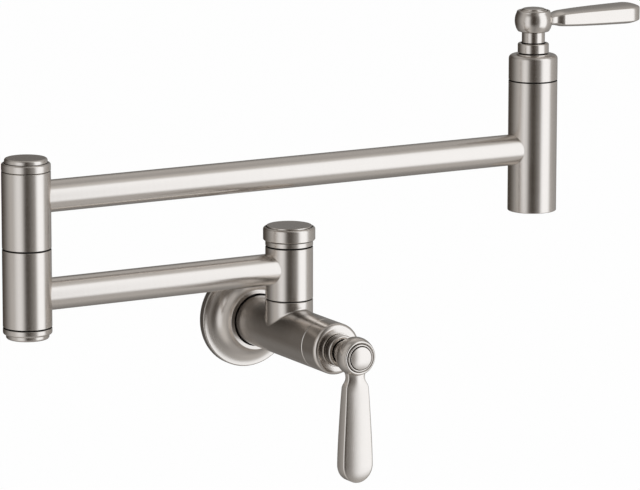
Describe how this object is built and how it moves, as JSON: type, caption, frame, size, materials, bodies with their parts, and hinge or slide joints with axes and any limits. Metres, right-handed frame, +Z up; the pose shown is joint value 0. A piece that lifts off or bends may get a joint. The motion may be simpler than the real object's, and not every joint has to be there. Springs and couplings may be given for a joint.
{
  "type": "wall mounted pot filler",
  "caption": "Wall mounted pot filler: flanged valve body, folding two-tube arm that swivels at riser and elbow, spout column, and a lever valve at each end.",
  "frame": {"origin": "centre of the inlet thread's mouth, in the plane of the finished wall", "axes": "-Y out of the wall into the room, +X to the right as seen from the room, along the folded arm, +Z up"},
  "size_m": [0.4682, 0.1532, 0.2795],
  "materials": {
    "brushed_nickel": "brushed",
    "plain_brass": "satin",
    "stainless_steel": "satin",
    "white_ceramic": "polished",
    "white_acetal": "satin",
    "black_rubber": "matte"
  },
  "bodies": {
    "wall_valve": {"wall_flange": "brushed_nickel", "flange_gasket": "black_rubber", "flange_grip_ring": "black_rubber", "valve_body": "brushed_nickel", "riser_spindle": "plain_brass", "riser_seals": "black_rubber", "riser_glide_washers": "white_acetal", "riser_cap": "brushed_nickel", "inlet_bonnet": "brushed_nickel", "inlet_seat_seal": "black_rubber", "inlet_cartridge_housing": "plain_brass", "inlet_fixed_disc": "white_ceramic", "inlet_barrel_ring": "black_rubber", "inlet_gland_nut": "plain_brass", "inlet_collar_nut": "brushed_nickel"},
    "lower_arm": {"shoulder_sleeve": "brushed_nickel", "lower_arm_tube": "brushed_nickel", "elbow_lower_hub": "brushed_nickel"},
    "upper_arm": {"elbow_spindle": "plain_brass", "elbow_seals": "black_rubber", "elbow_glide_washers": "white_acetal", "elbow_bottom_cap": "brushed_nickel", "elbow_upper_hub": "brushed_nickel", "elbow_top_cap": "brushed_nickel", "elbow_top_seal": "black_rubber", "upper_arm_tube": "brushed_nickel", "outlet_column": "brushed_nickel", "aerator_housing": "brushed_nickel", "aerator_insert": "white_acetal", "aerator_washer": "black_rubber", "outlet_bonnet": "brushed_nickel", "outlet_seat_seal": "black_rubber", "outlet_cartridge_housing": "plain_brass", "outlet_fixed_disc": "white_ceramic", "outlet_barrel_ring": "black_rubber", "outlet_gland_nut": "plain_brass", "outlet_collar_nut": "brushed_nickel"},
    "inlet_handle": {"inlet_stem": "plain_brass", "inlet_stem_rings": "black_rubber", "inlet_moving_disc": "white_ceramic", "inlet_handle_hub": "brushed_nickel", "inlet_handle_screw": "stainless_steel", "inlet_lever": "brushed_nickel", "inlet_button": "brushed_nickel"},
    "outlet_handle": {"outlet_stem": "plain_brass", "outlet_stem_rings": "black_rubber", "outlet_moving_disc": "white_ceramic", "outlet_handle_hub": "brushed_nickel", "outlet_handle_screw": "stainless_steel", "outlet_lever": "brushed_nickel", "outlet_button": "brushed_nickel"}
  },
  "joints": [
    {"name": "shoulder_swivel", "type": "hinge", "parent": "wall_valve", "child": "lower_arm", "pos_m": [0, -0.0594, 0.04225], "axis": [0, 0, 1], "range_deg": [-10, 190]},
    {"name": "elbow_swivel", "type": "hinge", "parent": "lower_arm", "child": "upper_arm", "pos_m": [-0.1874, -0.0594, 0.07273], "axis": [0, 0, 1], "continuous": true},
    {"name": "inlet_handle_turn", "type": "hinge", "parent": "wall_valve", "child": "inlet_handle", "pos_m": [0, -0.1444, 0], "axis": [0, 1, 0], "range_deg": [0, 90]},
    {"name": "outlet_handle_turn", "type": "hinge", "parent": "upper_arm", "child": "outlet_handle", "pos_m": [0.184, -0.0594, 0.18938], "axis": [0, 0, -1], "range_deg": [0, 90]}
  ]
}
